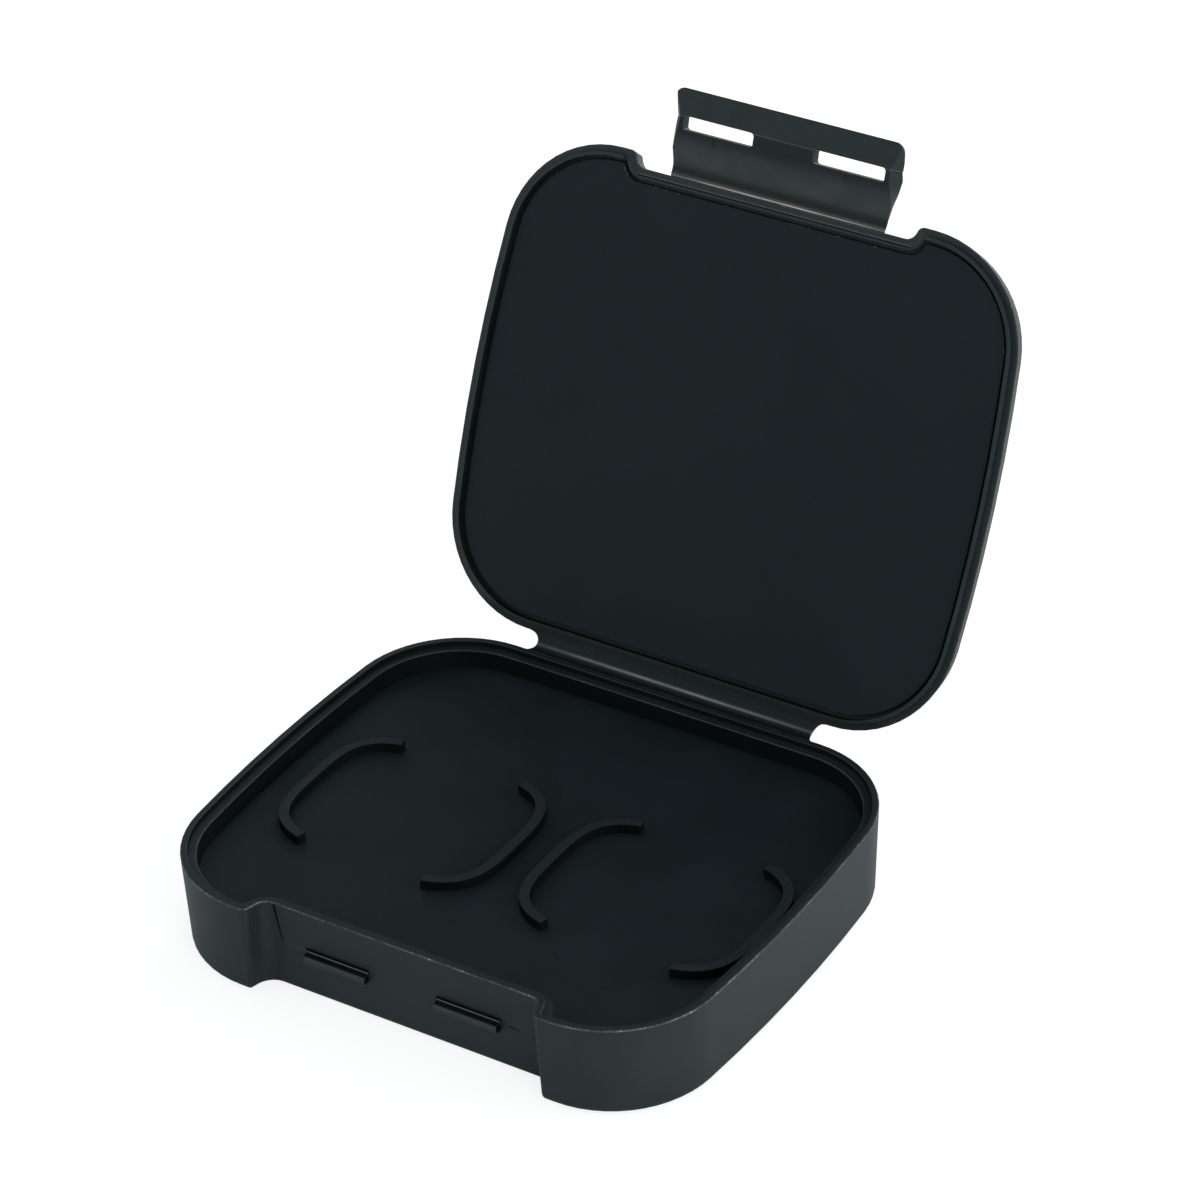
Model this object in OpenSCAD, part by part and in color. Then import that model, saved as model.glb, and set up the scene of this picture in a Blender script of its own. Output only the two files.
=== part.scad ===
// Pocket case for two small camera filters.
// One moulding with two living hinges, a ribbed tray in the base and a pad in the lid.
// Origin: middle of the underside of the base. X to the right, Y to the back, Z up. Millimetres.

/* [Outline] */
// Outside width across the middle
case_w = 80; // [78:0.5:84]
// Outside depth, front to back
case_d = 67.5; // [66.5:0.5:72]
// How far the left and right sides bow out
side_bow = 2.3; // [1.8:0.1:2.8]
// Corner radius
corner_r = 15.4; // [14.8:0.1:16]
// Height of the base
base_h = 13.7; // [12.5:0.1:16]
// How far the walls of the base lean in at the bottom
base_draft = 0.58; // [0.3:0.02:0.8]
// Radius of the edge round the underside
base_edge_r = 1.1; // [0.8:0.1:1.4]

/* [Base] */
// Wall of the base
wall_t = 2.1; // [2:0.05:2.3]
// Bottom of the base
floor_t = 1.6; // [1.2:0.1:2]
// Width of the outer lip on the rim
lip_w = 0.9; // [0.8:0.05:1]
// Height of the outer lip above the step inside it
lip_h = 0.8; // [0.7:0.05:1]
// Depth of the recess in the front, for the latch
recess_d = 3.25; // [3:0.05:3.5]
// Straight stretch between a recess corner and the rounded corner of the case
recess_side = 2.58; // [2.4:0.02:2.8]
// Steepness of the recess corners, in degrees
recess_angle = 75; // [70:1:80]

/* [Catch tabs] */
// Width of each catch tab
tab_w = 9.4; // [8:0.1:9.6]
// How far the pair of tabs sits to the left of the middle
tab_shift = 0.15; // [0:0.05:0.2]
// Depth of the flat top of the tabs below the rim
tab_drop = 6.3; // [6.25:0.05:6.4]
// Height of the front face of a tab
tab_h = 1.2; // [0.9:0.05:1.25]
// How far a tab stands out of the recess
tab_out = 1; // [0.8:0.05:1.1]

/* [Filter tray] */
// Depth of the tray floor below the rim
tray_drop = 3.5; // [3.2:0.1:4]
// Thickness of the tray
tray_t = 1.5; // [1.2:0.1:2]
// Gap between the tray and the wall of the base
tray_gap = 0.1; // [0.05:0.05:0.2]
// Mean distance of the outer ribs from the sides of the tray
nest_side = 2.55; // [2.5:0.05:3.5]
// Distance between the two ribs in the middle
nest_between = 4.5; // [4:0.1:5]
// Half width of a nest, to the middle of its ribs
nest_b = 12.5; // [11.5:0.05:12.6]
// Squareness of the nests, 2 is an ellipse
nest_n = 3.6; // [3:0.1:6]
// Distance from the nest centre at which the ribs end
rib_end = 9.9; // [8:0.1:11]
// Width of the ribs
rib_w = 1.4; // [1:0.1:1.6]
// Height of the ribs above the tray floor
rib_h = 1.4; // [1:0.1:1.8]
// How far the pair of nests sits to the right of the middle
nest_x = 1.8; // [0:0.1:2]
// How far the pair of nests sits in front of the middle
nest_y = 2.5; // [0:0.1:3]

/* [Lid] */
// How far the lid stands open in the rest pose, in degrees
open_angle = 115; // [60:1:180]
// Height of the lid
lid_h = 4.5; // [4.2:0.1:6]
// How far the sides of the lid lean in over its height
lid_draft = 1.3; // [0.8:0.1:1.4]
// Radius of the edge round the lid
lid_edge_r = 1.4; // [1:0.1:1.5]
// Depth of the recess in the lid
lid_recess_d = 2.05; // [1.9:0.05:2.15]
// Distance of the sealing tongue from the outside of the lid
tongue_in = 1; // [0.95:0.05:1.1]
// Width of the sealing tongue
tongue_w = 0.45; // [0.35:0.05:0.45]
// Height of the sealing tongue
tongue_h = 0.6; // [0.4:0.05:0.65]
// Distance of the pad from the outside of the lid
pad_in = 1.9; // [1.85:0.05:2]
// Thickness of the pad
pad_t = 2.4; // [1.8:0.1:2.5]
// How far the pad sits below the rim of the lid
pad_drop = 0.08; // [0.05:0.01:0.3]

/* [Main hinge] */
// Free length of each half of the hinge strap
strap_half = 1.67; // [1.6:0.01:2]
// Thickness of the hinge strap
strap_t = 0.45; // [0.3:0.05:0.5]
// Straight stretch between an end of the strap and the rounded corner of the case
strap_side = 0.6; // [0.5:0.1:4]
// Depth of the hinge line below the rim
hinge_drop = 0.25; // [0.2:0.05:0.4]
// Gap between the rims when shut
rim_gap = 0.1; // [0.05:0.05:0.2]
// Gap left at a hinge line between the two halves
crease_gap = 0.05; // [0.04:0.01:0.08]

/* [Latch] */
// Distance of the latch hinge line in front of the rim of the lid
latch_gap = 0.13; // [0.12:0.01:0.25]
// Height of the latch hinge line above the rim of the lid
latch_rise = 0.25; // [0.2:0.01:0.3]
// Thickness of the web of the latch
latch_web_t = 0.3; // [0.25:0.01:0.32]
// Length of the latch from its hinge line
latch_len = 11.85; // [11.5:0.05:12]
// Distance between the inner side of the latch and a recess corner
latch_side = 5.4; // [5.1:0.1:5.6]
// How far the latch web is wider than the inner side at each end
latch_web_flare = 0.4; // [0.1:0.1:0.5]
// How far the outer side of the latch is wider at each end
latch_flare = 1.35; // [1:0.05:1.4]
// How far the latch sits to the right of the middle
latch_shift = 0.35; // [0.2:0.05:0.4]
// How much wider each slot is than its tab
slot_play = 1.4; // [1.2:0.1:1.5]
// Distance of the slots from the ends of the latch
slot_end = 0.55; // [0.5:0.05:0.7]
// Distance of the slots from the hinge line
slot_near = 6.35; // [6.3:0.01:6.4]
// Height of the slots
slot_h = 1.9; // [1.85:0.01:1.95]

/* [Hidden] */
$fn = 48;
half_w = case_w / 2;
half_d = case_d / 2;
side_r = (half_d * half_d + side_bow * side_bow) / (2 * side_bow);
side_cx = half_w - side_r;
corner_cy = half_d - corner_r;
corner_cx = side_cx + sqrt(pow(side_r - corner_r, 2) - pow(corner_cy, 2));
side_turn = atan2(corner_cy, corner_cx - side_cx);
// places along the width that follow from the rounded corners
recess_x = corner_cx - recess_side;
strap_x = corner_cx - strap_half - strap_side;
latch_x = recess_x - latch_side;
latch_web_x = latch_x + latch_web_flare;
slot_w = tab_w + slot_play;
tab_pitch = 2 * (latch_x - slot_end) - slot_w;
// half length of a nest to the middle of its ribs, and the distance between the two nests
nest_a = (half_w - wall_t - tray_gap - nest_side - rib_w - nest_between / 2) / 2;
nest_pitch = 2 * nest_a + rib_w + nest_between;
// steps along each kind of arc
side_n = 6;
corner_n = 13;
small_n = 5;
// widest inset that still moves the recess corners sideways
inset_cap = 1.9;
hinge_y = half_d + strap_half;
hinge_z = base_h - hinge_drop;
lid_rim = hinge_drop + rim_gap;
latch_y = -half_d + lid_recess_d - latch_gap;
latch_z = lid_rim + latch_rise;
// where the tongue ends beside the recess, on its straight stretch
tongue_end = recess_x + 1.8;
tray_z = base_h - tray_drop;
shell_colour = [0.09, 0.1, 0.105];
tray_colour = [0.06, 0.07, 0.075];
pad_colour = [0.07, 0.08, 0.085];

// points along an arc
function arc(cx, cy, r, a0, a1, n) = [for (i = [0:n]) let (a = a0 + (a1 - a0) * i / n) [cx + r * cos(a), cy + r * sin(a)]];

// the two arcs of a recess corner on the right, for an outline set in by d
function ess(d, depth) =
    let (t = tan(recess_angle / 2),
         link = depth / sin(recess_angle),
         rv = max(1.1 - d, 0.3),
         rc = min(1.7 + d, link / t - rv - 0.05),
         dx = min(d, inset_cap) * t,
         x1 = recess_x - link * cos(recess_angle) / 2 + dx,
         x2 = recess_x + link * cos(recess_angle) / 2 + dx,
         y1 = -half_d + depth + d,
         y2 = -half_d + d)
    concat(arc(x1 - rc * t, y1 - rc, rc, 90, 90 - recess_angle, small_n),
           arc(x2 + rv * t, y2 + rv, rv, 270 - recess_angle, 270, small_n));

// right half of an outline, from the front to the back
function right_half(d, depth) = concat(
    ess(d, depth),
    arc(corner_cx, -corner_cy, corner_r - d, 270, 360 - side_turn, corner_n),
    [for (i = [1:side_n - 1]) let (a = -side_turn + 2 * side_turn * i / side_n)
        [side_cx + (side_r - d) * cos(a), (side_r - d) * sin(a)]],
    arc(corner_cx, corner_cy, corner_r - d, side_turn, 90, corner_n));

// a whole outline, set in by d, with a recess of the given depth in front
function outline(d, depth) =
    let (r = right_half(d, depth), n = len(r))
    concat(r, [for (i = [n - 1:-1:0]) [-r[i][0], r[i][1]]]);

// faces that close one outline flat, split so that the recess stays open
function cap(first, d, depth) =
    let (r = right_half(d, depth),
         n = 2 * len(r),
         ends = 2 * (small_n + 1),
         k = min([for (i = [ends:len(r) - 1]) if (r[i][1] > r[0][1] + 0.01) i]),
         back = function (i) n - 1 - i)
    concat(
        [[first, first + k, first + back(k), first + back(0)]],
        [for (i = [k:len(r) - 2]) [first + i, first + i + 1, first + back(i + 1), first + back(i)]],
        [for (i = [0:k - 2]) [first + k, first + i, first + i + 1]],
        [for (i = [0:k - 2]) [first + back(i + 1), first + back(i), first + back(k)]]);

function flipped(faces) = [for (f = faces) [for (i = [len(f) - 1:-1:0]) f[i]]];

// a closed skin through a stack of outlines, each given as [inset, height]
module skin(stack, depth) {
    n = len(outline(0, depth));
    m = len(stack);
    points = [for (s = stack) for (p = outline(s[0], depth)) [p[0], p[1], s[1]]];
    sides = [for (j = [0:m - 2]) for (i = [0:n - 1])
        [j * n + i, (j + 1) * n + i, (j + 1) * n + (i + 1) % n, j * n + (i + 1) % n]];
    polyhedron(points, concat(cap(0, stack[0][0], depth), sides,
        flipped(cap((m - 1) * n, stack[m - 1][0], depth))), convexity = 8);
}

// puts a shape drawn for the shut lid into the rest pose
module lid_place() {
    translate([0, hinge_y, hinge_z])
        rotate([-open_angle, 0, 0])
            translate([0, -hinge_y, 0])
                children();
}

// inset of the outside of the base at a height
function base_lean(z) = base_draft * (1 - z / base_h);

// inset of the outside of the lid at a height above its rim
function lid_lean(z) = lid_draft * z / lid_h;

module base_shell() {
    color(shell_colour)
    union() {
        skin(concat(
            [for (i = [0:5]) let (a = 90 * i / 5, z = base_edge_r * (1 - cos(a)))
                [base_edge_r * (1 - sin(a)) + base_lean(z), z]],
            [[0, base_h - 0.18],
             [0.05, base_h - 0.05],
             [0.18, base_h],
             [lip_w - 0.08, base_h],
             [lip_w, base_h - 0.08],
             [lip_w, base_h - lip_h],
             [wall_t - 0.12, base_h - lip_h],
             [wall_t, base_h - lip_h - 0.12],
             [wall_t, floor_t]]), recess_d);
        catch_tab(-1);
        catch_tab(1);
    }
}

// one catch tab on the face of the recess
module catch_tab(side) {
    top = base_h - tab_drop;
    face = -half_d + recess_d + base_lean(top);
    c = 0.12;
    translate([side * tab_pitch / 2 - tab_shift - tab_w / 2, 0, 0])
        rotate([90, 0, 90])
            linear_extrude(tab_w)
                polygon([
                    [face + 0.6, top],
                    [face - tab_out + c, top],
                    [face - tab_out, top - c],
                    [face - tab_out, top - tab_h + c],
                    [face - tab_out + c, top - tab_h],
                    [face + 0.6, top - tab_h - 0.2]]);
}

// half length and half width of a nest at a rib angle
function nest_point(a) =
    let (c = cos(a), s = sin(a))
    [sign(c) * nest_a * pow(abs(c), 2 / nest_n), sign(s) * nest_b * pow(abs(s), 2 / nest_n)];

// angle at which the ribs end
rib_a = acos(pow(rib_end / nest_a, nest_n / 2));
rib_n = 18;

// middle line of the right-hand rib of a nest, from front to back
rib_line = [for (i = [0:rib_n]) let (u = -1 + 2 * i / rib_n) nest_point(rib_a * (0.45 * u + 0.55 * u * u * u))];

// unit vector across the middle line at a point
function across(i) =
    let (p = rib_line[max(i - 1, 0)], q = rib_line[min(i + 1, rib_n)], d = q - p)
    [d[1], -d[0]] / norm(d);

// outline of one rib, with round ends
function rib_shape(w) =
    let (a0 = atan2(across(0)[1], across(0)[0]),
         a1 = atan2(across(rib_n)[1], across(rib_n)[0]))
    concat(
        [for (i = [0:rib_n]) rib_line[i] + across(i) * w / 2],
        [for (i = [1:5]) rib_line[rib_n] + w / 2 * [cos(a1 + 30 * i), sin(a1 + 30 * i)]],
        [for (i = [rib_n:-1:0]) rib_line[i] - across(i) * w / 2],
        [for (i = [1:5]) rib_line[0] + w / 2 * [cos(a0 + 180 + 30 * i), sin(a0 + 180 + 30 * i)]]);

module filter_tray() {
    color(tray_colour)
    union() {
        // floor plate
        translate([0, 0, tray_z - tray_t])
            linear_extrude(tray_t)
                polygon(outline(wall_t + tray_gap, recess_d));
        // skirt down to the bottom of the base
        translate([0, 0, floor_t])
            linear_extrude(tray_z - tray_t - floor_t + 0.2)
                difference() {
                    polygon(outline(wall_t + tray_gap, recess_d));
                    polygon(outline(wall_t + tray_gap + 1.2, recess_d));
                }
        // stiffening walls under the floor
        for (x = [-0.45 * half_w, 0, 0.45 * half_w])
            translate([x - 0.6, -half_d + recess_d + wall_t + 0.6, floor_t])
                cube([1.2, case_d - recess_d - 2 * wall_t - 1.2, tray_z - tray_t - floor_t + 0.2]);
        for (y = [-0.36 * half_d, 0.36 * half_d])
            translate([-half_w + wall_t + 1.2, y - 0.6, floor_t])
                cube([case_w - 2 * wall_t - 2.4, 1.2, tray_z - tray_t - floor_t + 0.2]);
    }
}

// ribs that hold the filters, moulded on the tray floor and drawn by themselves from its top face up
module nest_ribs() {
    color(tray_colour)
    for (side = [-1, 1])
        for (turn = [0, 180])
            translate([nest_x + side * nest_pitch / 2, -nest_y, tray_z])
                rotate(turn)
                    linear_extrude(rib_h)
                        polygon(rib_shape(rib_w));
}

// one half of the strap, drawn behind the base and a little below the hinge line
module strap_half_shape(below) {
    difference() {
        translate([-strap_x - strap_half, half_d, -strap_t - below])
            cube([2 * (strap_x + strap_half), strap_half - crease_gap, strap_t]);
        for (side = [-1, 1])
            translate([side * (strap_x + strap_half), hinge_y, -2])
                cylinder(h = 4, r = strap_half);
    }
}

module strap_base_half() {
    color(shell_colour)
    translate([0, 0, hinge_z])
        strap_half_shape(0.04);
}

module strap_lid_half() {
    color(shell_colour)
    lid_place()
        mirror([0, 0, 1])
            strap_half_shape(lid_rim + 0.02);
}

module lid_shell() {
    color(shell_colour)
    lid_place()
        translate([0, 0, lid_rim])
            difference() {
                mirror([0, 0, 1])
                    skin(concat(
                        [for (i = [0:5]) let (a = 90 * i / 5, z = lid_h - lid_edge_r * (1 - cos(a)))
                            [lid_edge_r * (1 - sin(a)) + lid_lean(z), -z]],
                        [[lid_lean(0.18), -0.18],
                         [0.05, -0.05],
                         [0.18, 0],
                         [tongue_in, 0],
                         [tongue_in, tongue_h],
                         [tongue_in + tongue_w, tongue_h],
                         [tongue_in + tongue_w, -0.6],
                         [pad_in + 0.05, -0.6],
                         [pad_in + 0.05, -pad_drop - pad_t]]), lid_recess_d);
                // no tongue along the recess, where it ends in a trace of 0.02
                translate([-tongue_end, -half_d - 1, -3])
                    cube([2 * tongue_end, 6, 2.98]);
            }
}

module lid_pad() {
    color(pad_colour)
    lid_place()
        translate([0, 0, lid_rim + pad_drop])
            skin([[pad_in + 0.15, 0],
                  [pad_in + 0.1, 0.12],
                  [pad_in + 0.1, pad_t]], lid_recess_d);
}

// web between the lid and the hinge line of the latch
module latch_web() {
    face = -half_d + lid_recess_d + lid_lean(latch_rise);
    color(shell_colour)
    lid_place()
        translate([latch_shift - latch_web_x, latch_y + crease_gap, latch_z])
            cube([2 * latch_web_x, face - latch_y - crease_gap, latch_web_t]);
}

// side view of the latch from its hinge line: distance, height towards the inside of the case
latch_inner = [[crease_gap, 0], [1, -0.16], [2, -0.08], [3, 0.18], [4, 0.46], [5, 0.77], [6, 1.08], [7, 1.34],
               [8.15, 1.46]];
latch_outer = [[10.8, 0.68], [9.5, 0.24], [8.15, -0.17], [7, -0.4], [6, -0.48], [5, -0.47], [4, -0.43], [3, -0.42],
               [2, -0.46], [1, -0.46], [crease_gap, -latch_web_t]];
latch_crease = 8.15;
latch_top = 1.46;
// radius of the two corners at the tip of the latch
latch_corner = 1.3;

// right-hand edge of the latch seen from its inner side: half width, distance
function latch_edge() = concat(
    [[latch_web_x, 0], [latch_web_x + 0.05, 1.5], [latch_x + 0.75, 3.5], [latch_x + 1.1, 5], [latch_x + latch_flare, 7]],
    arc(latch_x + latch_flare - latch_corner, latch_len - latch_corner, latch_corner, 0, 90, 8));

// drawn with Y as the distance from the hinge line and Z towards the inside of the case
module latch_body() {
    slope = latch_flare / 1.9;
    wedge = [[latch_x, latch_top],
             [latch_x + slope * (latch_top + 2), -2],
             [latch_x + 8, -2],
             [latch_x + 8, latch_top + 2],
             [latch_x - slope * 2, latch_top + 2]];
    difference() {
        intersection() {
            translate([-latch_x - latch_flare - 2, 0, 0])
                rotate([90, 0, 90])
                    linear_extrude(2 * (latch_x + latch_flare + 2))
                        polygon(concat(latch_inner,
                            [[latch_len - 0.25, 1.24], [latch_len, 1.14], [latch_len, 1.02], [latch_len - 0.12, 0.97]],
                            latch_outer));
            translate([0, 0, -3])
                linear_extrude(6)
                    polygon(concat(latch_edge(),
                        [for (i = [len(latch_edge()) - 1:-1:0]) [-latch_edge()[i][0], latch_edge()[i][1]]]));
        }
        // slanted ends, first beside the slots and then along the lip
        for (side = [0, 1])
            mirror([side, 0, 0]) {
                translate([0, latch_crease, 0])
                    rotate([90, 0, 0])
                        linear_extrude(latch_crease + 1)
                            polygon(wedge);
                translate([latch_x, latch_crease, 0])
                    rotate([0, 0, -19])
                        translate([-latch_x, 6, 0])
                            rotate([90, 0, 0])
                                linear_extrude(6)
                                    polygon(wedge);
            }
        for (side = [-1, 1])
            translate([side * tab_pitch / 2, slot_near + slot_h / 2, -4])
                linear_extrude(8)
                    slot_shape();
    }
}

module latch_flap() {
    color(shell_colour)
    lid_place()
        translate([latch_shift, latch_y, latch_z])
            rotate([180, 0, 0])
                latch_body();
}

// a slot with round corners, made of true arcs
module slot_shape() {
    r = 0.5;
    square([slot_w - 2 * r, slot_h], center = true);
    square([slot_w, slot_h - 2 * r], center = true);
    for (x = [-1, 1])
        for (y = [-1, 1])
            translate([x * (slot_w / 2 - r), y * (slot_h / 2 - r)])
                circle(r, $fn = 24);
}

base_shell();
filter_tray();
nest_ribs();
strap_base_half();
strap_lid_half();
lid_shell();
lid_pad();
latch_web();
latch_flap();
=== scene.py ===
# %% [markdown]
# # A pocket case for camera filters
# The case is one plastic moulding that folds in two places, with a ribbed tray pressed into the
# base and a thin pad in the lid. The construction model brings the exact shapes. This script gives
# them softened edges, bending webs, finishes and a studio. Lengths are in metres, and MM is one
# millimetre.

# %% Load the construction model
import bpy
import math
from mathutils import Matrix, Vector


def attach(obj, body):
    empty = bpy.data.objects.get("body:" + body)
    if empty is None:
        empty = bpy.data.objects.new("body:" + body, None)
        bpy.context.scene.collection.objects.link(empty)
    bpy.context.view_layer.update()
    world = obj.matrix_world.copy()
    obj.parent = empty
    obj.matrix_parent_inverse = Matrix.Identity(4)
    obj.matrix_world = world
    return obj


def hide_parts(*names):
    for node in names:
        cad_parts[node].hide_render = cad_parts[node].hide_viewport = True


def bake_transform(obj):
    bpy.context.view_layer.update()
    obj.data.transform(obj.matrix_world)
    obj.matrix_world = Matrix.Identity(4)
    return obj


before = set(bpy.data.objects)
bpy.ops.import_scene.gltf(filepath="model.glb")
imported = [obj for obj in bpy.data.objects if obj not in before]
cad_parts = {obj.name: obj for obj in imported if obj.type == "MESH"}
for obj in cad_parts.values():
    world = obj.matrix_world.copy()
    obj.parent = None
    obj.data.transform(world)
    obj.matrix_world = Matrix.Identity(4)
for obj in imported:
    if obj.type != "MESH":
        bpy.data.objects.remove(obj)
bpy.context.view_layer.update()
MM = 0.001

# %% [markdown]
# ## The camera
# A long lens far away shows the case with hardly any perspective. Azimuth, elevation and roll turn
# the camera, and the three vectors of the view become the columns of its matrix.

# %% Camera
AZIMUTH, ELEVATION, ROLL = math.radians(33.18), math.radians(33.60), math.radians(-2.29)
CAMERA_PLACE = Vector((290.07, -425.05, 389.80)) * MM
FOCAL_LENGTH, SENSOR_WIDTH = 147.2, 36
NEAREST, FARTHEST = 0.01, 20
level_right = Vector((math.cos(AZIMUTH), math.sin(AZIMUTH), 0))
level_up = Vector((-math.sin(AZIMUTH) * math.sin(ELEVATION),
                   math.cos(AZIMUTH) * math.sin(ELEVATION), math.cos(ELEVATION)))
view_back = level_right.cross(level_up)
view_right = level_right * math.cos(ROLL) + level_up * math.sin(ROLL)
view_up = level_up * math.cos(ROLL) - level_right * math.sin(ROLL)
lens = bpy.data.cameras.new("camera")
lens.lens, lens.sensor_width = FOCAL_LENGTH, SENSOR_WIDTH
lens.clip_start, lens.clip_end = NEAREST, FARTHEST
camera = bpy.data.objects.new("camera", lens)
bpy.context.scene.collection.objects.link(camera)
turned = Matrix((view_right, view_up, view_back)).transposed().to_4x4()
camera.matrix_world = Matrix.Translation(CAMERA_PLACE) @ turned
bpy.context.scene.camera = camera
print("camera looks along", [round(-v, 3) for v in view_back])

# %% [markdown]
# ## Helpers for the pieces
# An operator acts on whatever is selected, so each step first selects one piece alone. The shells
# come from a merged copy of the construction mesh: its loose triangles are joined, paired into
# quads, and every sharp edge then gets the small radius that a mould leaves.

# %% Helpers for the shells
SAME_POINT = 0.001 * MM
FLAT_PAIR, SQUARE_PAIR = math.radians(2), math.radians(60)
SHELL_SMOOTH = math.radians(48)


def alone(piece):
    if bpy.context.object and bpy.context.object.mode != "OBJECT":
        bpy.ops.object.mode_set(mode="OBJECT")
    bpy.ops.object.select_all(action="DESELECT")
    piece.select_set(True)
    bpy.context.view_layer.objects.active = piece


def merged_copy(node, name):
    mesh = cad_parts[node].data.copy()
    mesh.materials.clear()
    piece = bpy.data.objects.new(name, mesh)
    bpy.context.scene.collection.objects.link(piece)
    alone(piece)
    bpy.ops.object.mode_set(mode="EDIT")
    bpy.ops.mesh.select_all(action="SELECT")
    bpy.ops.mesh.remove_doubles(threshold=SAME_POINT)
    bpy.ops.mesh.tris_convert_to_quads(face_threshold=FLAT_PAIR, shape_threshold=SQUARE_PAIR)
    bpy.ops.object.mode_set(mode="OBJECT")
    return piece


def soften(piece, width, sharper_than=32, segments=2):
    alone(piece)
    bevel = piece.modifiers.new("small radius", "BEVEL")
    bevel.width, bevel.segments = width, segments
    bevel.limit_method, bevel.angle_limit = "ANGLE", math.radians(sharper_than)
    bevel.use_clamp_overlap = True
    bpy.ops.object.modifier_apply(modifier=bevel.name)
    bpy.ops.object.shade_smooth_by_angle(angle=SHELL_SMOOTH)
    weighted = piece.modifiers.new("flat faces stay flat", "WEIGHTED_NORMAL")
    weighted.keep_sharp = True
    bpy.ops.object.modifier_apply(modifier=weighted.name)
    print(piece.name, "has", len(piece.data.polygons), "faces")

# %% [markdown]
# Pieces that bend or curve start as a flat grid, two units long each way, whose points are then
# moved. A flat sheet becomes a solid by an extrusion, after which its faces are turned outwards.

# %% Helpers for the new pieces
def flat_grid(name, columns, rows):
    bpy.ops.object.select_all(action="DESELECT")
    bpy.ops.mesh.primitive_grid_add(x_subdivisions=columns, y_subdivisions=rows, size=2)
    bpy.context.object.name = name
    return bpy.context.object


def face_outwards(piece):
    alone(piece)
    bpy.ops.object.mode_set(mode="EDIT")
    bpy.ops.mesh.select_all(action="SELECT")
    bpy.ops.mesh.normals_make_consistent(inside=False)
    bpy.ops.object.mode_set(mode="OBJECT")


def extrude(piece, way):
    alone(piece)
    bpy.ops.object.mode_set(mode="EDIT")
    bpy.ops.mesh.select_all(action="SELECT")
    bpy.ops.mesh.extrude_region_move(TRANSFORM_OT_translate={"value": way})
    face_outwards(piece)

# %% [markdown]
# ## Helpers for the finishes
# A material is a small sum over the surface. Wrapping a socket in a class with + - * / lets that
# sum be written as one line, and each sign adds a Math node.

# %% Sums over the surface
class Wire:
    def __init__(self, finish, socket):
        self.finish, self.socket = finish, socket

    def math(self, operation, *values):
        return self.finish.node("ShaderNodeMath", {"operation": operation}, dict(enumerate(values)))

    def __add__(self, other):
        return self.math("ADD", self, other)

    def __sub__(self, other):
        return self.math("SUBTRACT", self, other)

    def __rsub__(self, other):
        return self.math("SUBTRACT", other, self)

    def __mul__(self, other):
        return self.math("MULTIPLY", self, other)

    def __truediv__(self, other):
        return self.math("DIVIDE", self, other)

    __radd__, __rmul__ = __add__, __mul__

    def size(self):
        return self.math("ABSOLUTE", self)

# %% [markdown]
# Every other node comes from one method that takes its type, settings and values. A rise is a soft
# step from 0 to 1, a fall the reverse, and near is 1 round a middle and falls off to both sides.
# Black plastic shows mostly its gloss, so what lies in shade mixes in a shader that has none.

# %% Finish of a surface
COOL_GLOSS = (0.8, 0.97, 1, 1)
NO_LIGHT = (0.0015, 0.002, 0.002, 1)


class Finish:
    def __init__(self, name=None, tree=None):
        if tree is None:
            self.material = bpy.data.materials.new(name)
            self.material.use_nodes = True
            tree = self.material.node_tree
        self.tree = tree
        self.tree.nodes.clear()

    def node(self, kind, settings=None, values=None, output=0):
        made = self.tree.nodes.new(kind)
        for setting, value in (settings or {}).items():
            setattr(made, setting, value)
        for socket, value in (values or {}).items():
            if isinstance(value, Wire):
                self.tree.links.new(value.socket, made.inputs[socket])
            else:
                made.inputs[socket].default_value = value
        return Wire(self, made.outputs[output]) if made.outputs else made

    def place(self):
        return self.node("ShaderNodeTexCoord", output="Object")

    def stored(self, name):
        return self.node("ShaderNodeAttribute", {"attribute_name": name}, output="Fac")

    def axes(self, vector):
        split = self.node("ShaderNodeSeparateXYZ", values={0: vector})
        return [Wire(self, socket) for socket in split.socket.node.outputs]

    def in_mm(self, place):
        return [axis / MM for axis in self.axes(place)]

    def noise(self, vector, grain, detail=2):
        return self.node("ShaderNodeTexNoise",
                         values={"Vector": vector, "Scale": 1 / grain, "Detail": detail})

    def rise(self, value, low, high, to_low=0, to_high=1):
        return self.node("ShaderNodeMapRange", {"interpolation_type": "SMOOTHSTEP"},
                         {"Value": value, "From Min": low, "From Max": high,
                          "To Min": to_low, "To Max": to_high})

    def fall(self, value, low, high, floor=0):
        return self.rise(value, low, high, 1, floor)

    def near(self, value, middle, full, end):
        return self.fall((value - middle).size(), full, end)

    def blend(self, mask, first, second):
        return self.node("ShaderNodeMix", {"data_type": "RGBA"},
                         {0: mask, 6: first, 7: second}, output=2)

    def surface(self, colour, roughness, gloss, grain=None, depth=0, lightless=None):
        values = {"Base Color": colour, "Roughness": roughness, "Specular IOR Level": gloss,
                  "Specular Tint": COOL_GLOSS}
        if grain is not None:
            values["Normal"] = self.node(
                "ShaderNodeBump", values={"Height": grain, "Distance": depth, "Strength": 1})
        shader = self.node("ShaderNodeBsdfPrincipled", values=values)
        if lightless is not None:
            # A flat black shader with no gloss, mixed in where painted shade and dark marks go.
            painted_dark = self.node("ShaderNodeBsdfPrincipled", values={
                "Base Color": NO_LIGHT, "Roughness": 1, "Specular IOR Level": 0})
            shader = self.node("ShaderNodeMixShader", values={0: lightless, 1: shader, 2: painted_dark})
        self.node("ShaderNodeOutputMaterial", values={0: shader})
        return self.material

# %% [markdown]
# ## Where a shell is sheltered and where it wears
# The lid turns about the main hinge and stands open by 115 degrees, so "along the lid" and "out of
# its back" are slanted here. Distances along both are counted from the hinge of the latch.

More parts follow.
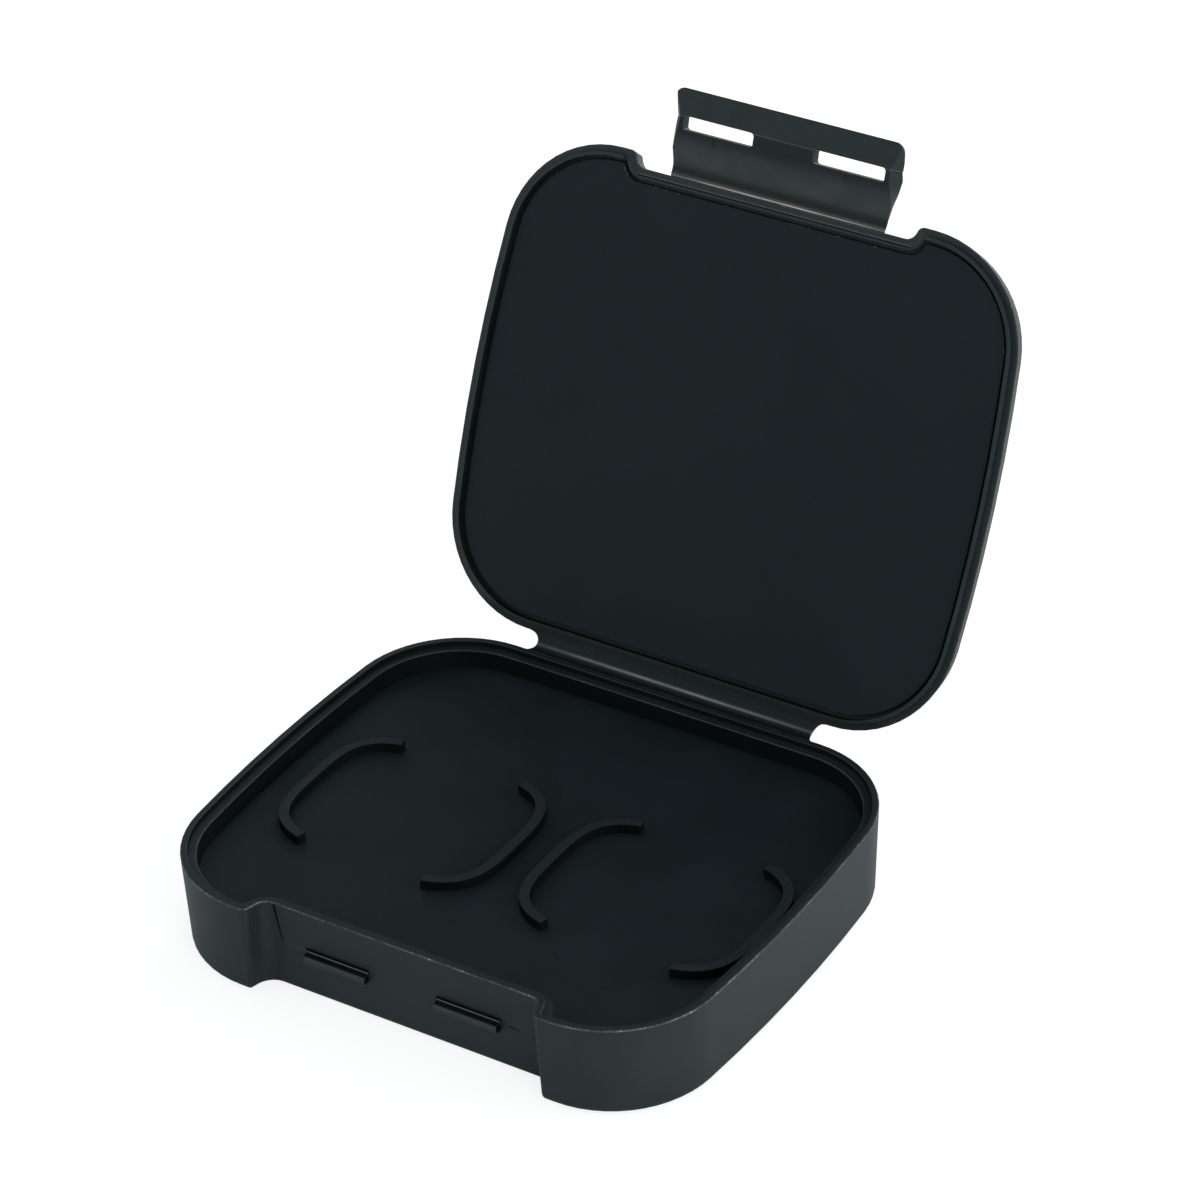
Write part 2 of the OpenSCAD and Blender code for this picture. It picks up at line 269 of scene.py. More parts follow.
# %% Directions of the lid
LID_OPEN = math.radians(115)
HINGE_Y, HINGE_Z = 35.42 * MM, 13.45 * MM
LATCH_X, LATCH_Y, LATCH_Z = 0.35, 64.385, 74.146  # in mm, as the marks are
lid_way = Vector((-math.cos(LID_OPEN), math.sin(LID_OPEN)))
lid_out = Vector((math.sin(LID_OPEN), math.cos(LID_OPEN)))
lid_faces_to = -Vector((0, *lid_out))
hinge = Vector((HINGE_Y, HINGE_Z))
latch_hinge = Vector((LATCH_Y, LATCH_Z)) * MM


def from_latch_hinge(y, z, way):
    return (y - LATCH_Y) * way.x + (z - LATCH_Z) * way.y


print("the lid rises along", [round(v, 3) for v in lid_way])

# %% [markdown]
# The stepped rims are the most worked part of this case. Their flats and inner walls lie in the
# shade of the moulding, so painted shade is mixed in there, and their edges get a pale line that
# is partly wear and partly a painted highlight. Both follow the surface, so they are stored on the
# faces: the way a face points, against its place in the dish, tells an inner wall from an outer
# one. Beyond the wall of the front recess there is no dish, so nothing there counts as inside.

# %% Faces in painted shade, and worn and highlighted edges
RECESS_HALF, DISH_SLACK = 23.6 * MM, 5 * MM
WALL_BELOW, FLAT_ABOVE = 0.7, 0.9
EDGE_FROM, EDGE_TO = 0.2, 0.97


def mark_rim(piece, middle, faces_to, front, recess, painted_shade_on_flats, worn_and_highlit_top, worn_and_highlit_inside):
    painted_shade = piece.data.attributes.new("painted_shade", "FLOAT", "FACE")
    edge = piece.data.attributes.new("edge", "FLOAT", "FACE")
    for face, dark, pale in zip(piece.data.polygons, painted_shade.data, edge.data):
        place, way = face.center - middle, face.normal
        height, facing = place.dot(faces_to), way.dot(faces_to)
        flat_place, flat_way = place - faces_to * height, way - faces_to * facing
        inward = flat_way.dot(flat_place) < -DISH_SLACK * flat_way.length
        if abs(place.x) < RECESS_HALF and flat_place.dot(front) > recess:
            inward = False
        # Inner walls and flats get painted shade; edges get the pale line of wear and painted
        # highlight.
        if inward and abs(facing) < WALL_BELOW:
            dark.value = 1
        elif facing > FLAT_ABOVE:
            dark.value = painted_shade_on_flats(height)
        if EDGE_FROM < facing < EDGE_TO:
            pale.value = (worn_and_highlit_inside if inward else worn_and_highlit_top)(height)
    print(piece.name, "has", sum(d.value > 0.9 for d in painted_shade.data), "sheltered and",
          sum(e.value > 0 for e in edge.data), "worn faces")

# %% [markdown]
# ## The moulded plastic
# The shells are near-black polypropylene with a cool tint and a satin skin. The mould is finely
# grained, so a fine noise feeds a bump and the roughness. A little of a coarser noise stands for
# flow and handling. The edges get a thin pale line, partly wear and partly a painted highlight,
# broken by brighter nicks.

# %% Moulded plastic
SHELL_DARK, SHELL_LIGHT = (0.0068, 0.0098, 0.011, 1), (0.0092, 0.0132, 0.0146, 1)
RUBBED_AND_HIGHLIT = (0.3, 0.33, 0.34, 1)
SHELL_GLOSS, SHELL_GRAIN, GRAIN_DEPTH = 0.36, 0.16 * MM, 0.012 * MM
FLOW, NICK, PATCH = 9 * MM, 0.26 * MM, 5 * MM


def moulded(name, wear_and_highlight, shade, marks):
    finish = Finish(name)
    place = finish.place()
    fine, broad = finish.noise(place, SHELL_GRAIN), finish.noise(place, FLOW)
    edge = finish.stored("edge")
    nicks = finish.rise(finish.noise(place, NICK, 3), 0.55, 0.67)
    patches = finish.rise(finish.noise(place, PATCH), 0.4, 0.62, 0.3, 1)
    mottle = finish.rise(broad * 0.7 + fine * 0.3, 0.35, 0.65)
    colour = finish.blend(mottle, SHELL_DARK, SHELL_LIGHT)
    # The pale line on edges: partly wear, partly a painted highlight.
    colour = finish.blend(edge * patches * (0.2 + nicks * 0.8) * wear_and_highlight, colour, RUBBED_AND_HIGHLIT)
    # Painted shade from the faces' stored values, plus the marks' dark mould lines and painted
    # shade.
    unlit = finish.stored("painted_shade") * shade
    colour, dark_marks_and_shade = marks(finish, colour, *finish.in_mm(place))
    unlit = finish.rise(unlit + dark_marks_and_shade, 0, 1)
    return finish.surface(colour, 0.46 + broad * 0.08 + fine * 0.06, SHELL_GLOSS,
                          grain=fine, depth=GRAIN_DEPTH, lightless=unlit)

# %% [markdown]
# A sliding piece of the mould shapes the front recess. It leaves a thin tapered line beside the
# left tab, a short dash beside the right one, and a pale flash along the root of each tab. The
# tops of the tabs and the wall just above their roots are painted in shade, and their fronts are
# painted lighter, as lit. Each mark is a product of soft steps in X, Y and Z, here in millimetres,
# so it lies on the surface in every view.

# %% Marks of the mould in the base
BASE_RIM, TAB_SEAM = 13.7, 7.46
TAB_MIDDLE, TAB_FROM_MIDDLE = -0.15, 9.95
LINE_X, LINE_HEIGHT, LINE_LEAN = -19.45, 6.2, 0.9
DASH_X, DASH_Z, DASH_LEAN = 16.4, 7.21, 0.1
TAB_LIT, FLASH = (0.028, 0.032, 0.034, 1), (0.16, 0.175, 0.18, 1)


def slide_lines(finish, x, z):
    down = (BASE_RIM - z) / LINE_HEIGHT
    line = (x - LINE_X - down * LINE_LEAN).size() / (0.19 - down * 0.11)
    line = finish.fall(line, 0.7, 1.15) * finish.rise(z, 7.4, 7.6)
    off = (x - DASH_X).size()
    dash = (z - DASH_Z + (x - DASH_X) * DASH_LEAN).size() + off * 0.06
    return line + finish.fall(dash, 0.07, 0.14) * finish.fall(off, 0.8, 1.1)


def mould_marks(finish, colour, x, y, z):
    near_front = finish.fall(y, -29.6, -29.5)
    wall = finish.rise(y, -30.58, -30.54) * near_front * finish.fall(z, 13.36, 13.46)
    behind = finish.rise(y, -30.4, -30.36) * near_front
    from_tab = ((x - TAB_MIDDLE).size() - TAB_FROM_MIDDLE).size()
    along, around = finish.fall(from_tab, 4.62, 4.72), finish.fall(from_tab, 4.7, 5.1)
    # Painted shade on the wall just above each tab's root.
    shade = finish.rise(z, 7.5, 7.54) * finish.fall(z, 7.7, 8.5) * behind * around
    flash = finish.near(z, TAB_SEAM, 0.05, 0.08) * behind * along
    ragged = finish.rise(finish.noise(finish.place(), 0.3 * MM, 3), 0.45, 0.6)
    seam = finish.near(z, TAB_SEAM, 0.03, 0.09) * wall * finish.near(x, -16.7, 1.7, 1.9) * ragged
    # Painted shade on the top of each tab.
    shaded_top = finish.rise(z, 7.24, 7.32) * finish.fall(z, 7.41, 7.42) * finish.fall(y, -30.3, -30.26)
    front = finish.fall(y, -31.2, -31.15) * along * finish.rise(z, 6.2, 7.3, 0.2, 1)
    # The fronts of the tabs are painted lighter, as lit.
    colour = finish.blend(front * 0.8, colour, TAB_LIT)
    colour = finish.blend(flash * 0.8 + seam * 0.3, colour, FLASH)
    return colour, slide_lines(finish, x, z) * wall + shade * 0.85 + shaded_top * along * 0.55


base_plastic = moulded("base plastic", wear_and_highlight=0.9, shade=0.68, marks=mould_marks)
print(base_plastic.name, "has", len(base_plastic.node_tree.nodes), "nodes")

# %% [markdown]
# Inside the lid's recess the rim keeps a faint line where the tongue stops: a painted highlight
# with a line of painted shade beside it. Near the main hinge the rim is painted darker.

# %% Marks of the tongue in the lid
RIM_BELOW_HINGE = 0.25
TONGUE_PALE, TONGUE_DARK = 0.95, 1.15
LEDGE_HIGHLIGHT = (0.07, 0.077, 0.08, 1)


def tongue_marks(finish, colour, x, y, z):
    inwards = from_latch_hinge(y, z, lid_way) * -1
    height = (from_latch_hinge(y, z, lid_out) + RIM_BELOW_HINGE) * -1
    on_rim = finish.near(height, 0, 0.1, 0.2) * finish.near(x, 0, 20.6, 21.2)
    # Painted darkening of the rim near the main hinge.
    by_hinge = finish.rise(inwards, 62.5, 63.7) * finish.rise(height, -0.2, -0.1)
    # A painted highlight and a painted shade line where the tongue stops.
    pale = finish.near(inwards, TONGUE_PALE, 0.05, 0.11) * on_rim
    dark = finish.near(inwards, TONGUE_DARK, 0.05, 0.11) * on_rim
    return finish.blend(pale * 0.5, colour, LEDGE_HIGHLIGHT), dark * 0.7 + by_hinge * 0.4


lid_plastic = moulded("lid plastic", wear_and_highlight=0.7, shade=0.42, marks=tongue_marks)
print(lid_plastic.name, "has", len(lid_plastic.node_tree.nodes), "nodes")

# %% [markdown]
# ## The base
# A box with leaning walls, a rounded recess in front for the latch, two catch tabs and a stepped
# rim. The right end of each tab is painted in shade, as it is turned from the light, and the edge
# before it gets the pale edge line as a painted glint.

# %% Base
BASE_RADIUS, BASE_RECESS = 0.09 * MM, 30.2 * MM
RIM_CREST, RIM_STEP = -0.3 * MM, -1 * MM
TAB_Z, TAB_REACH, TABS_HALF, TAB_ROOT = 6.8 * MM, 0.8 * MM, 16 * MM, -30.45 * MM
base = merged_copy("base_shell", "base_moulding")
soften(base, BASE_RADIUS)
base_rim = Vector((0, 0, BASE_RIM * MM))
mark_rim(base, base_rim, Vector((0, 0, 1)), Vector((0, -1, 0)), BASE_RECESS,
         painted_shade_on_flats=lambda h: 0.5 if h > RIM_STEP else 0,
         worn_and_highlit_top=lambda h: 1 if h > RIM_CREST else 0,
         worn_and_highlit_inside=lambda h: 0.15 if RIM_STEP < h < RIM_CREST else 0)
painted_shade, edge = (base.data.attributes[name].data for name in ("painted_shade", "edge"))
# The right end face of each tab gets painted shade, and the rounded corner before it a painted
# glint.
for face in base.data.polygons:
    place, way = face.center, face.normal
    if place.y < TAB_ROOT and abs(place.z - TAB_Z) < TAB_REACH and abs(place.x) < TABS_HALF:
        painted_shade[face.index].value = 1 if way.x > 0.95 else 0
        edge[face.index].value = 1 if 0.3 < way.x < 0.95 else 0
base.data.materials.append(base_plastic)
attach(base, "base")
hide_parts("base_shell")

# %% [markdown]
# ## The tray
# A plate with four curved ribs that hold the filters by their short ends. The construction model
# draws each rib with 18 straight steps, which show as kinks, so here each is swept along the same
# curve in fine steps: a flat strip is bent to the curve and extruded up. Its foot is sunk a little
# into the plate. The curve is a rounded rectangle, a circle's cosine and sine raised to a power.

# %% Ribs of the tray
TRAY_TOP, TRAY_RADIUS = 10.2 * MM, 0.08 * MM
RIB_WIDTH, RIB_HEIGHT, RIB_SUNK, RIB_RADIUS = 1.4 * MM, 1.4 * MM, 0.3 * MM, 0.07 * MM
RIB_STEPS, RIB_OVERRUN, SLOPE_STEP = 72, 1.02, 0.002
NEST_LENGTH, NEST_WIDTH, SQUARENESS, RIB_TURN = 15.8 * MM, 12.5 * MM, 3.6, math.radians(64.46)
NEST_X, NEST_PITCH, NEST_Y = 1.8 * MM, 37.5 * MM, -2.5 * MM


def rib_place(u):
    turn = RIB_TURN * math.copysign(abs(u) ** (SQUARENESS / 2), u)
    return Vector((NEST_LENGTH * math.cos(turn) ** (2 / SQUARENESS),
                   NEST_WIDTH * math.copysign(abs(math.sin(turn)) ** (2 / SQUARENESS), u)))


def rib(nest_x, turned):
    piece = flat_grid("rib", 1, RIB_STEPS)
    for vertex in piece.data.vertices:
        u = vertex.co.y * RIB_OVERRUN
        step = rib_place(u + SLOPE_STEP) - rib_place(u - SLOPE_STEP)
        across = Vector((step.y, -step.x)).normalized()
        place = (rib_place(u) + across * vertex.co.x * RIB_WIDTH / 2) * turned
        vertex.co = Vector((nest_x + place.x, NEST_Y + place.y, TRAY_TOP - RIB_SUNK))
    extrude(piece, (0, 0, RIB_HEIGHT + RIB_SUNK))
    soften(piece, RIB_RADIUS)
    return piece


tray = merged_copy("filter_tray", "ribbed_tray")
soften(tray, TRAY_RADIUS)
ribs = [rib(NEST_X + side * NEST_PITCH / 2, turned) for side in (-1, 1) for turned in (1, -1)]
alone(tray)
for piece in ribs:
    piece.select_set(True)
bpy.ops.object.join()
print(tray.name, "with its ribs has", len(tray.data.polygons), "faces")

# %% [markdown]
# The plastic of the tray is duller and darker than the shell's. The sides of the ribs are painted
# in shade, and their flat tops are painted paler, as lit.

# %% Finish of the tray
TRAY_DARK, TRAY_LIGHT = (0.0046, 0.0078, 0.0098, 1), (0.006, 0.0098, 0.012, 1)
RIB_TOP_HIGHLIGHT = (0.0088, 0.0122, 0.0148, 1)
TRAY_GLOSS, TRAY_GRAIN, TRAY_FLOW, TRAY_DEPTH = 0.18, 0.22 * MM, 12 * MM, 0.016 * MM
finish = Finish("tray plastic")
place = finish.place()
fine, broad = finish.noise(place, TRAY_GRAIN), finish.noise(place, TRAY_FLOW)
colour = finish.blend(finish.rise(broad, 0.35, 0.65), TRAY_DARK, TRAY_LIGHT)
# The flat tops of the ribs are painted paler, as lit.
lit_rib_top = finish.rise(finish.in_mm(place)[2] - TRAY_TOP / MM, 1.33, 1.38)
colour = finish.blend(lit_rib_top, colour, RIB_TOP_HIGHLIGHT)
tray.data.materials.append(finish.surface(
    colour, 0.56 + fine * 0.1, TRAY_GLOSS, grain=fine, depth=TRAY_DEPTH,
    lightless=finish.stored("painted_shade") * 0.75))
tray_painted_shade = tray.data.attributes.new("painted_shade", "FLOAT", "FACE")
# The sides of the ribs get painted shade.
for face, dark in zip(tray.data.polygons, tray_painted_shade.data):
    dark.value = 1 if face.center.z > TRAY_TOP + 0.1 * MM and abs(face.normal.z) < 0.5 else 0
print(sum(dark.value for dark in tray_painted_shade.data), "faces of the ribs are sheltered")
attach(tray, "base")
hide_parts("filter_tray", "nest_ribs")

# %% [markdown]
# ## The lid
# A shallow dish with a sealing tongue round its rim, which stops beside the recess. The crest of
# the tongue gets the pale line, partly wear and partly a painted highlight, and the narrow channel
# between it and the pad is painted almost black, as shade.

# %% Lid
LID_RADIUS, LID_RECESS = 0.07 * MM, 30.9 * MM
LID_MIDDLE_ALONG, LID_MIDDLE_OUT = 35.42 * MM, 0.35 * MM
CHANNEL, LID_RIM, TONGUE_CREST = -0.3 * MM, 0.3 * MM, 0.4 * MM
lid = merged_copy("lid_shell", "lid_moulding")
soften(lid, LID_RADIUS)
lid_middle = Vector((0, *(hinge + lid_way * LID_MIDDLE_ALONG + lid_out * LID_MIDDLE_OUT)))
mark_rim(lid, lid_middle, lid_faces_to, Vector((0, *lid_way)), LID_RECESS,
         # Painted shade, strong in the channel and faint on the rim's flat.
         painted_shade_on_flats=lambda h: 1 if h < CHANNEL else 0.12 if h < LID_RIM else 0,
         worn_and_highlit_top=lambda h: 1 if h > TONGUE_CREST else 0.4 if h > CHANNEL else 0,
         worn_and_highlit_inside=lambda h: 1 if h > TONGUE_CREST else 0)
lid.data.materials.append(lid_plastic)
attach(lid, "lid")
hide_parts("lid_shell")

# %% [markdown]
# ## The pad in the lid
# A flat sheet that fills the lid. It lies flat on the shell and nothing presses it, so it is
# modelled directly: the outline of its back is kept, extruded to its thickness, and its front edge
# is rounded as cut foam is.

# %% Pad
PAD_THICK, PAD_RADIUS = 2.4 * MM, 0.16 * MM
pad = merged_copy("lid_pad", "lid_liner")
bpy.ops.object.mode_set(mode="EDIT")
bpy.ops.mesh.select_mode(type="FACE")
bpy.ops.mesh.select_all(action="SELECT")
bpy.ops.mesh.dissolve_limited(angle_limit=math.radians(1))
bpy.ops.mesh.select_all(action="DESELECT")
bpy.ops.object.mode_set(mode="OBJECT")
for face in pad.data.polygons:
    face.select = face.normal.dot(lid_faces_to) > -0.99
bpy.ops.object.mode_set(mode="EDIT")
bpy.ops.mesh.delete(type="FACE")
extrude(pad, lid_faces_to * PAD_THICK)
soften(pad, PAD_RADIUS, segments=3)
pad_edge = pad.data.attributes.new("edge", "FLOAT", "FACE")
for face, pale in zip(pad.data.polygons, pad_edge.data):
    pale.value = 1 if EDGE_FROM < face.normal.dot(lid_faces_to) < EDGE_TO else 0

# %% [markdown]
# The foam is dull, with a fine closed grain and no sheen of its own. Specks of fluff cling to its
# upper edge.

# %% Finish of the pad
PAD_DARK, PAD_LIGHT = (0.0056, 0.0092, 0.0112, 1), (0.007, 0.011, 0.0131, 1)
FLUFF, FLUFF_FROM, FLUFF_TO = (0.2, 0.22, 0.23, 1), 50, 62  # heights in mm
PAD_GLOSS, PAD_GRAIN, PAD_FLOW, PAD_DEPTH = 0.16, 0.3 * MM, 16 * MM, 0.02 * MM
finish = Finish("pad")
place = finish.place()
fine, broad = finish.noise(place, PAD_GRAIN, 3), finish.noise(place, PAD_FLOW)
colour = finish.blend(finish.rise(broad, 0.3, 0.7), PAD_DARK, PAD_LIGHT)
specks = finish.rise(fine, 0.56, 0.66) * finish.rise(finish.noise(place, 4 * MM), 0.5, 0.6)
fluff = specks * finish.rise(finish.in_mm(place)[2], FLUFF_FROM, FLUFF_TO)
colour = finish.blend(finish.stored("edge") * fluff * 0.5, colour, FLUFF)
pad.data.materials.append(finish.surface(
    colour, 0.62 + fine * 0.1, PAD_GLOSS, grain=fine, depth=PAD_DEPTH))
print(sum(pale.value for pale in pad_edge.data), "faces of the pad's edge can hold fluff")
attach(pad, "lid")
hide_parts("lid_pad")

# %% [markdown]
# ## The main hinge strap
# On the real case this is one thin web that bends, so it is one piece here too. Its middle line in
# the side view is a straight run, an arc and a straight run. It leaves the base level, meets the
# lid along the lid, and has almost the widest arc. Where both ends point the same way it is
# straight.

# %% Line of a bend
ARC_SHARE, NO_TURN = 0.94, 0.01


def bend_line(start, start_way, end, end_way):
    turn = math.acos(max(-1, min(1, start_way.dot(end_way))))
    if turn < NO_TURN:
        return (end - start).length, lambda v: start + start_way * v
    across_start = Vector((-start_way.y, start_way.x))
    reach = (end - start).dot(across_start) / end_way.dot(across_start)
    corner = end - end_way * reach
    fillet = ARC_SHARE * min((corner - start).length, reach)
    radius = fillet / math.tan(turn / 2)
    first, arc, last = (corner - start).length - fillet, radius * turn, reach - fillet
    centre = corner - start_way * fillet + across_start * radius

    def point(v):
        if v < first:
            return start + start_way * v
        if v < first + arc:
            angle = (v - first) / radius
            return (centre - across_start * radius * math.cos(angle)
                    + start_way * radius * math.sin(angle))
        return end - end_way * (first + arc + last - v)
    return first + arc + last, point

# %% [markdown]
# A grid is laid along that line, its ends are drawn in to the round notches, and Solidify gives it
# its thickness. The grid's own UV map runs across the web, so what is drawn in it stays on the
# bend as it folds.

# %% Web along a bend
WEB_SMOOTH = math.radians(40)


def bent_web(name, half_length, line, thickness, rows, columns, notch=0, middle=0):
    length, point = line
    web = flat_grid(name, columns, rows)
    for vertex in web.data.vertices:
        place = point((vertex.co.y + 1) / 2 * length)
        side = abs(vertex.co.y) * notch
        half = half_length + notch - math.sqrt(max(0, notch * notch - side * side))
        vertex.co = Vector((middle + vertex.co.x * half, place.x, place.y))
    alone(web)
    solid = web.modifiers.new("thickness", "SOLIDIFY")
    solid.thickness, solid.offset = thickness, 0
    bpy.ops.object.modifier_apply(modifier=solid.name)
    face_outwards(web)
    bpy.ops.object.shade_smooth_by_angle(angle=WEB_SMOOTH)
    print(name, "is", round(length / MM, 2), "mm across with", len(web.data.polygons), "faces")
    return web

# %% [markdown]
# Folding whitens the plastic, in streaks that run across the web and fade towards its ends. On the
# main strap that pale crease is partly a painted highlight too. V of the UV map runs from one side
# of the web to the other, so the fold is a place in V. Just before it lies a faint painted sheen,
# and beside it the web gets painted shade.

# %% Finish of a folded web
WEB_DARK = (0.0062, 0.0086, 0.0095, 1)
STREAKED = (9, 0.6, 1)


def creased(name, fold, width, pale, tint, painted_dark=0):
    finish = Finish(name)
    place = finish.node("ShaderNodeTexCoord", output="UV")
    u, v, _ = finish.axes(place)
    stretch = finish.node("ShaderNodeVectorMath", {"operation": "MULTIPLY"},
                          {0: place, 1: STREAKED})
    streaks = finish.rise(finish.noise(stretch, 1), 0.3, 0.7, 0.6, 1)
    middle = finish.fall((u - 0.5).size(), 0.15, 0.5, 0.3)
    from_fold = v - fold
    crease = finish.near(v, fold, 0, width) * streaks * middle
    # glow is a faint painted sheen just before the fold.
    glow = finish.near(v, fold - 0.1, 0.05, 0.25) * middle
    beside = finish.fall(from_fold, -0.16, -0.05) + finish.rise(from_fold, 0.05, 0.2, 0, 0.85)
    colour = finish.blend(crease * pale + glow * 0.05, WEB_DARK, tint)
    return finish.surface(colour, 0.46 - crease * 0.1, SHELL_GLOSS, lightless=beside * painted_dark)

# %% [markdown]
# The strap runs from the back of the base, a little under its hinge line, to the lid's edge.

# %% Main hinge strap
STRAP_REACH, BELOW_HINGE, LID_SIDE_OUT = 1.72 * MM, 0.265 * MM, 0.595 * MM
STRAP_HALF, STRAP_THICK, NOTCH = 21.6 * MM, 0.45 * MM, 1.67 * MM
# The strap's crease colour is stress whitening and a painted highlight.
STRAP_WHITENED_AND_LIT = (0.24, 0.25, 0.25, 1)
strap_start = hinge + Vector((-STRAP_REACH, -BELOW_HINGE))
strap_end = hinge + lid_way * STRAP_REACH + lid_out * LID_SIDE_OUT
strap_line = bend_line(strap_start, Vector((1, 0)), strap_end, lid_way)
strap = bent_web("main_hinge_strap", STRAP_HALF, strap_line, STRAP_THICK, rows=22, columns=90,
                 notch=NOTCH)
strap.data.materials.append(creased(
    "strap plastic", fold=0.52, width=0.09, pale=0.7, tint=STRAP_WHITENED_AND_LIT, painted_dark=0.5))
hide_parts("strap_base_half", "strap_lid_half")
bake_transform(strap)

# %% [markdown]
# ## The latch
# A plate with two slots that hangs from the lid by a web about 0.3 mm thick. Folding whitens the
# web and the root of the plate, so both get a pale streak along the bend. Next to that the plate
# is warm in tone with painted shade, has a painted highlight a little further out, and painted
# shade again up to the fold where its lip begins, which gets a thin painted highlight. A small
# dark mark lies below each slot, and the lip has smudges.

# %% Finish of the latch
LATCH_DARK, LATCH_WARM = (0.0075, 0.0105, 0.0115, 1), (0.0125, 0.0105, 0.0085, 1)
PLATE_HIGHLIGHT, WHITENED = (0.032, 0.033, 0.033, 1), (0.3, 0.285, 0.25, 1)
FOLD_HIGHLIGHT = (0.06, 0.066, 0.07, 1)
SLOT_MARK_X, UNEVEN, SMUDGE = 10.03, 4 * MM, 3 * MM
finish = Finish("latch plastic")
place = finish.place()
x, y, z = finish.in_mm(place)
outwards = from_latch_hinge(y, z, lid_way)


def band(start, full, fade, end):
    return finish.rise(outwards, start, full) * finish.fall(outwards, fade, end)


fine, broad = finish.noise(place, SHELL_GRAIN), finish.noise(place, UNEVEN)
uneven = finish.rise(broad, 0.35, 0.65, 0.55, 1)
root, warm = finish.fall(outwards, 0.12, 0.4), finish.fall(outwards, 0.5, 2.4)
colour = finish.blend(warm * 0.8, LATCH_DARK, LATCH_WARM)
# A painted highlight on the plate, a little out from the root.
colour = finish.blend(band(1.3, 2.4, 3.4, 6) * uneven * 0.7, colour, PLATE_HIGHLIGHT)
colour = finish.blend(root * uneven * 0.6, colour, WHITENED)
# A thin painted highlight along the fold where the lip begins.
colour = finish.blend(band(8.06, 8.12, 8.18, 8.24) * 0.6, colour, FOLD_HIGHLIGHT)
smudges = finish.rise(finish.noise(place, SMUDGE, 3), 0.48, 0.66)
smudges = smudges * finish.rise(outwards, 8.2, 8.4)
slot_mark = finish.near(x.size(), SLOT_MARK_X, 0.1, 0.5) * band(4.7, 5.3, 5.6, 6.2)
# Painted shade in two bands of the plate, with the smudges and the marks below the slots.
painted_dark = (band(4.6, 6.4, 8.04, 8.1) * 0.3 + band(0.4, 0.7, 0.9, 1.8) * 0.38
        + smudges * 0.09 + slot_mark * 0.24)
latch_plastic = finish.surface(colour, 0.44 + fine * 0.08, SHELL_GLOSS,
                               grain=fine, depth=GRAIN_DEPTH, lightless=painted_dark)
print(latch_plastic.name, "has", len(finish.tree.nodes), "nodes")

# %% [markdown]
# The plate itself comes from the construction mesh. Its fold is shallow, so edges from 26 degrees
# on are softened.

# %% Latch
LATCH_RADIUS, LATCH_FOLD = 0.08 * MM, 26
latch = merged_copy("latch_flap", "latch_plate")
soften(latch, LATCH_RADIUS, sharper_than=LATCH_FOLD)
latch.data.materials.append(latch_plastic)
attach(latch, "latch")
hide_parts("latch_flap")

# %% [markdown]
# ## The web of the latch
# It folds a full right angle in a fifth of a millimetre, so it is made as the main strap is: one
# piece that runs from inside the lid's wall to inside the root of the latch, and bends between
# them.

# %% Web of the latch
WEB_OUT, WEB_IN_LID, WEB_IN_LATCH, BEND_REACH = 0.15 * MM, 0.32 * MM, 0.24 * MM, 0.12 * MM
WEB_HALF, WEB_THICK = 16.27 * MM, 0.28 * MM
WEB_TINT = (0.5, 0.475, 0.42, 1)
web_start = latch_hinge + lid_out * WEB_OUT - lid_way * WEB_IN_LID
web_end = latch_hinge + lid_out * WEB_OUT + lid_way * WEB_IN_LATCH
web_line = bend_line(web_start, lid_way, web_end, lid_way)
latch_web = bent_web("latch_hinge_web", WEB_HALF, web_line, WEB_THICK, rows=14, columns=60,
                     middle=LATCH_X * MM)
latch_web.data.materials.append(creased(
    "latch web plastic", fold=0.57, width=0.35, pale=1.0, tint=WEB_TINT))
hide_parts("latch_web")
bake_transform(latch_web)

# %% [markdown]
# ## The studio
# The floor is white to the camera and keeps a faint shadow: a glow that only camera rays see is
# added to a pale diffuse floor.

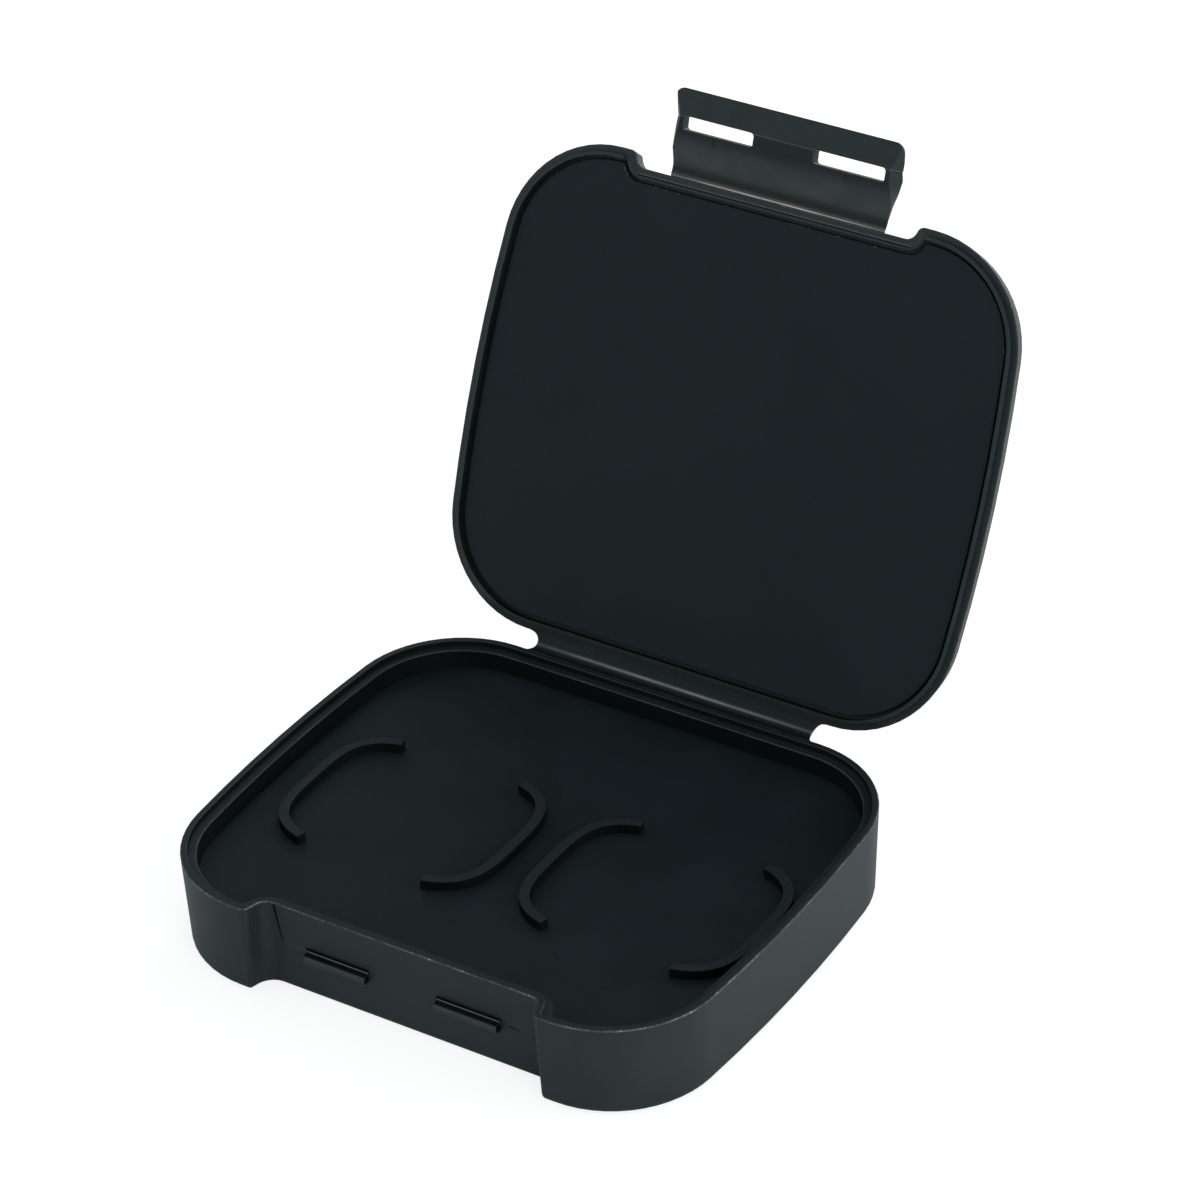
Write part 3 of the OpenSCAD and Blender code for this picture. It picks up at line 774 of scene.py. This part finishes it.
# %% Floor
WHITE, PAINT, FAINT = (1, 1, 1, 1), (0.82, 0.82, 0.82, 1), (0.3, 0.3, 0.3, 1)
FLOOR_WIDTH, FLOOR_DROP, FLOOR_GLOW = 6, 0.02 * MM, 0.8
bpy.ops.object.select_all(action="DESELECT")
bpy.ops.mesh.primitive_plane_add(size=FLOOR_WIDTH, location=(0, 0, -FLOOR_DROP))
floor = bpy.context.object
floor.name = "floor"
finish = Finish("white floor")
seen = finish.node("ShaderNodeLightPath", output="Is Camera Ray")
paint = finish.node("ShaderNodeBsdfDiffuse", values={"Color": PAINT})
faint = finish.node("ShaderNodeBsdfDiffuse", values={"Color": FAINT})
glow = finish.node("ShaderNodeEmission", values={"Color": WHITE, "Strength": FLOOR_GLOW})
bright = finish.node("ShaderNodeAddShader", values={0: faint, 1: glow})
shader = finish.node("ShaderNodeMixShader", values={0: seen, 1: paint, 2: bright})
finish.node("ShaderNodeOutputMaterial", values={0: shader})
floor.data.materials.append(finish.material)
print(floor.name, "is", round(floor.dimensions.x, 2), "m wide")

# %% [markdown]
# A light tent lights the case evenly from all round, and four weaker soft boxes draw its walls.
# Near-black plastic shows what it mirrors, so most of its tone is the tent. The camera sees white.

# %% Tent and soft boxes
TENT, TENT_LIGHT = (0.93, 0.98, 1, 1), 0.56
BOX_WIDTH, BOX_HEIGHT = 0.5, 0.6
LIT_PLACE = Vector((0, 0, 0.03))
world = bpy.data.worlds.new("studio")
bpy.context.scene.world = world
world.use_nodes = True
sky = Finish(tree=world.node_tree)
ray = sky.node("ShaderNodeLightPath", output="Is Camera Ray")
tent = sky.node("ShaderNodeBackground", values={"Color": TENT, "Strength": TENT_LIGHT})
backdrop = sky.node("ShaderNodeBackground", values={"Color": WHITE, "Strength": 1})
shader = sky.node("ShaderNodeMixShader", values={0: ray, 1: tent, 2: backdrop})
sky.node("ShaderNodeOutputWorld", values={0: shader})


def soft_box(name, place, watts):
    lamp = bpy.data.lights.new(name, "AREA")
    lamp.shape, lamp.size, lamp.size_y = "RECTANGLE", BOX_WIDTH, BOX_HEIGHT
    lamp.energy = watts
    box = bpy.data.objects.new(name, lamp)
    bpy.context.scene.collection.objects.link(box)
    box.location = place
    box.rotation_euler = (LIT_PLACE - Vector(place)).to_track_quat("-Z", "Y").to_euler()
    print(name, "gives", watts, "W")


soft_box("left box", (-0.8, -0.45, 0.3), 1.8)
soft_box("right box", (0.8, -0.5, 0.3), 4.6)
soft_box("right back box", (0.9, 0.4, 0.3), 5.0)
soft_box("back box", (0.0, 0.95, 0.45), 5.6)
bpy.context.scene.view_settings.view_transform = "Standard"
